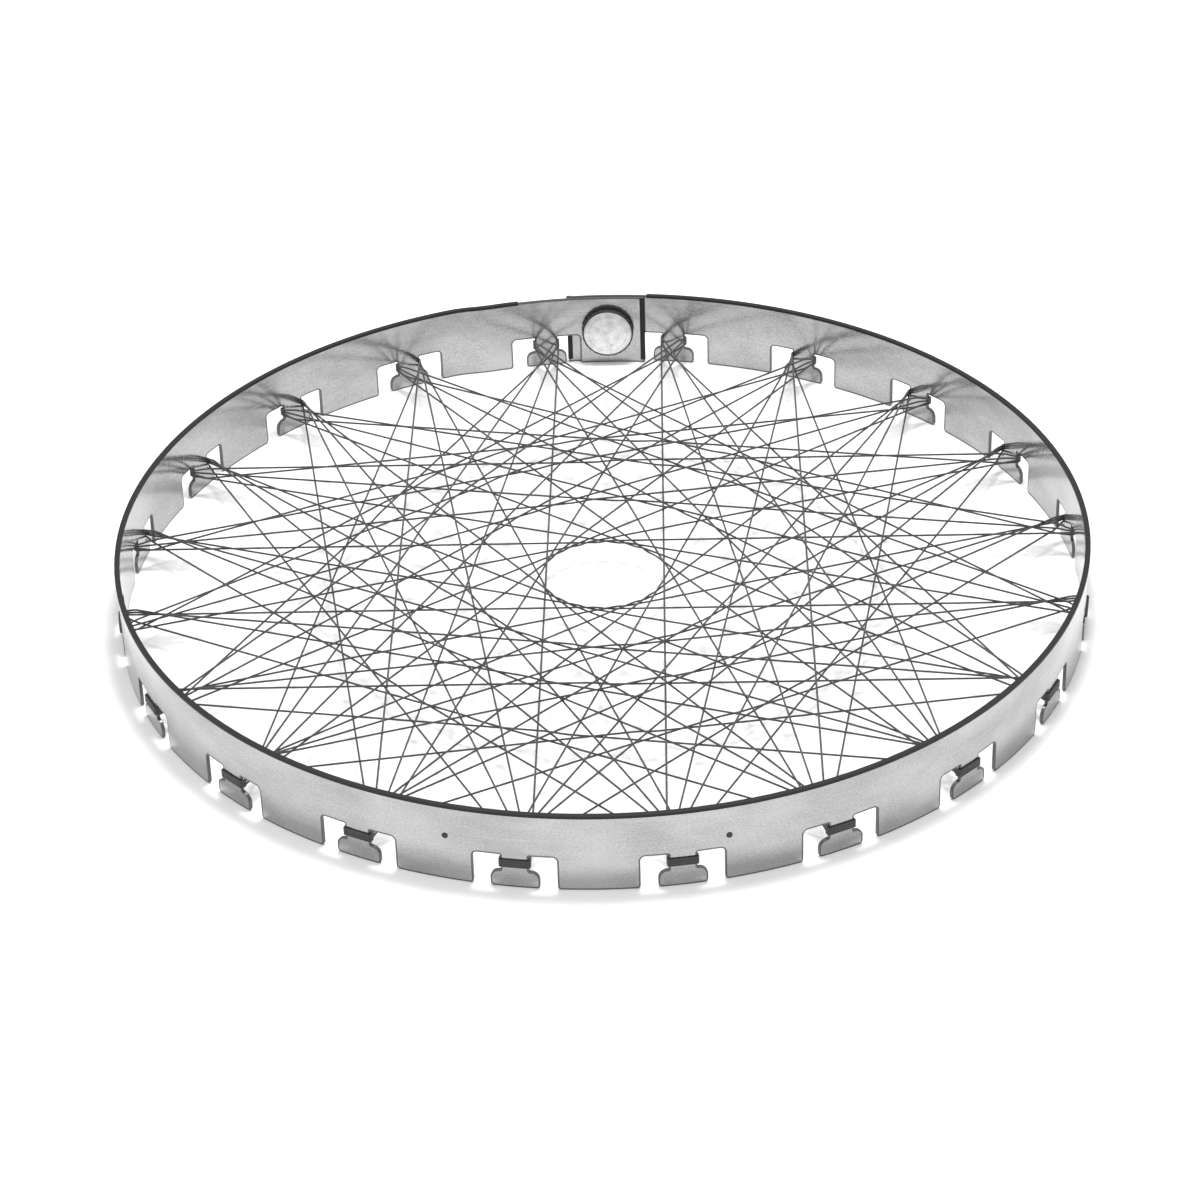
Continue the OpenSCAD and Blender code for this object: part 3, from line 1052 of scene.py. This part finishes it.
class MESH_OT_lawn_knob(bpy.types.Operator):
    """Moulds the fluted knob, spins its cap, and finishes the clamp's metal pieces"""

    bl_idname = "mesh.lawn_knob"
    bl_label = "Clamp knob"

    def execute(self, context):
        knob, colours = sizes().knob, sizes().colours
        plastic = bpy.data.materials["moulded_plastic"]
        body = lathe("knob_body_grip", knob_outline(knob), 144)
        cutters = []
        for i in range(knob.flutes):
            angle = FULL_TURN * (i + 0.5) / knob.flutes
            place = Vector((math.cos(angle), math.sin(angle), 0)) * (knob.radius + MM)
            cutters.append(drill("flute", knob.flute, 4 * knob.depth, place, ALONG_Z, 20))
        cut_out(body, join("flutes", cutters))
        soften(body, 0.25 * MM, 2, 32)
        on_clamp(body, KNOB_HIGH.y)
        smooth(body)
        settle(body, "knob", "knob", plastic, "knob_body")

        cap_room, chamfer, lip = 0.05 * MM, 0.2 * MM, 0.35 * MM
        cap_radius = knob.radius - knob.rim - cap_room
        edge = knob.cap - lip
        dome = [(cap_radius * math.sqrt(1 - share), edge + lip + knob.rise * share)
                for share in (i / 12 for i in range(13))]
        cap = lathe("knob_cap_disc", [(0, 0), (cap_radius - chamfer, 0), (cap_radius, chamfer),
                                      (cap_radius, edge)] + dome[1:], 96)
        place = (cap_radius * 0.15, -cap_radius * 0.45, knob.cap + knob.rise + 0.9 * MM)
        cut_out(cap, drill("dimple_drill", 2 * MM, 4 * MM, place, ALONG_Z, 24))
        soften(cap, 0.3 * MM, 3, 32)
        on_clamp(cap, CAP_HIGH.y)
        smooth(cap)
        spun = turned_metal("spun_cap", colours.cap, KNOB_MIDDLE, 1500, 0.22)
        settle(cap, "knob", "cap", spun, "knob_cap")

        steel = turned_metal("plated_steel", colours.steel, KNOB_MIDDLE, 1100, 0.25)
        paint_node("clamp_bolt", steel)
        paint_node("clamp_washer", steel)
        paint_node("knob_insert", turned_metal("turned_brass", colours.brass, KNOB_MIDDLE,
                                               900, 0.2))
        return {"FINISHED"}


# ---- the stage ----


class SCENE_OT_lawn_stage(bpy.types.Operator):
    """Lays the floor, and sets the lights and the camera"""

    bl_idname = "scene.lawn_stage"
    bl_label = "Stage"

    def execute(self, context):
        deselect_all()
        bpy.ops.mesh.primitive_circle_add(vertices=96, radius=14, fill_type="NGON")
        floor = bpy.context.object
        floor.name = "studio_floor"
        floor.data.materials.append(floor_paint(sizes().colours.floor))
        self.lights(context)
        self.camera(context)
        return {"FINISHED"}

    def lights(self, context):
        """A white room, a wide light overhead and a weaker one from the front."""
        world = bpy.data.worlds.new("white_room")
        world.use_nodes = True
        background = world.node_tree.nodes["Background"]
        background.inputs["Color"].default_value = (1, 1, 1, 1)
        background.inputs["Strength"].default_value = 0.95
        context.scene.world = world
        context.scene.view_settings.view_transform = "Standard"
        lamps = (("overhead", (0.15, 0.3, 2.6), 0.8, 52),
                 ("front_fill", (-1.2, -2.6, 1.6), 1.6, 12))
        for name, place, size, power in lamps:
            data = bpy.data.lights.new(name, "AREA")
            data.shape = "DISK"
            data.size = size
            data.energy = power
            lamp = bpy.data.objects.new(name, data)
            lamp.location = place
            lamp.rotation_euler = (HOOP_MIDDLE - Vector(place)).to_track_quat("-Z", "Y").to_euler()
            context.scene.collection.objects.link(lamp)

    def camera(self, context):
        """A long lens from the front, a third of a right angle up, tipped a little sideways."""
        aim = Vector((0, HOOP_MIDDLE.y, STRIP_HEIGHT + 0.5 * MM))
        azimuth, elevation = math.radians(-88.65), math.radians(32.14)
        tip, down, aside = math.radians(1.68), math.radians(1.18), math.radians(0.024)
        radii_away = 7.42
        out = Vector((math.cos(azimuth) * math.cos(elevation),
                      math.sin(azimuth) * math.cos(elevation), math.sin(elevation)))
        ahead = -out
        right = ahead.cross(Vector((0, 0, 1))).normalized()
        up = right.cross(ahead)
        right, up = (right * math.cos(tip) - up * math.sin(tip),
                     up * math.cos(tip) + right * math.sin(tip))
        ahead = (ahead - up * math.tan(down) - right * math.tan(aside)).normalized()
        right = ahead.cross(up).normalized()
        up = right.cross(ahead)
        data = bpy.data.cameras.new("camera")
        data.lens = 107.8
        data.sensor_width = 36
        data.clip_end = 60
        camera = bpy.data.objects.new("camera", data)
        camera.matrix_world = Matrix((right, up, -ahead)).transposed().to_4x4()
        camera.location = aim + out * radii_away * HOOP_RADIUS
        context.scene.collection.objects.link(camera)
        context.scene.camera = camera


# ---- the add-on ----


class LawnHoop(bpy.types.PropertyGroup):
    """All sizes and colours."""

    hoop: PointerProperty(type=HoopSizes, name="Hoop", description="The strip and its hooks")
    net: PointerProperty(type=NetSizes, name="Net", description="The cord")
    rivet: PointerProperty(type=RivetSizes, name="Rivet", description="The two rivets")
    knob: PointerProperty(type=KnobSizes, name="Knob", description="The clamp knob")
    colours: PointerProperty(type=Colours, name="Colours", description="The finishes")


STEPS = (SCENE_OT_lawn_stage, MESH_OT_lawn_strip, MESH_OT_lawn_edging, MESH_OT_lawn_net,
         MESH_OT_lawn_rivets, MESH_OT_lawn_knob)


class VIEW3D_PT_lawn_hoop(bpy.types.Panel):
    """Lists the pieces and their sizes"""

    bl_label = "Lawn hoop"
    bl_idname = "VIEW3D_PT_lawn_hoop"
    bl_space_type = "VIEW_3D"
    bl_region_type = "UI"
    bl_category = "Lawn hoop"

    def draw(self, context):
        for step in STEPS:
            self.layout.operator(step.bl_idname)
        for group in ("hoop", "net", "rivet", "knob", "colours"):
            box = self.layout.box()
            box.label(text=group.capitalize())
            values = getattr(context.scene.lawn_hoop, group)
            for name in values.__annotations__:
                box.prop(values, name)


CLASSES = (HoopSizes, RivetSizes, NetSizes, KnobSizes, Colours, LawnHoop, *STEPS,
           VIEW3D_PT_lawn_hoop)


def register():
    for each in CLASSES:
        bpy.utils.register_class(each)
    bpy.types.Scene.lawn_hoop = PointerProperty(type=LawnHoop)


def unregister():
    del bpy.types.Scene.lawn_hoop
    for each in reversed(CLASSES):
        bpy.utils.unregister_class(each)


def main():
    """Builds every piece."""
    register()
    bpy.ops.scene.lawn_stage()
    bpy.ops.mesh.lawn_strip()
    bpy.ops.mesh.lawn_edging()
    bpy.ops.mesh.lawn_net()
    bpy.ops.mesh.lawn_rivets()
    bpy.ops.mesh.lawn_knob()


if __name__ == "__main__":
    main()
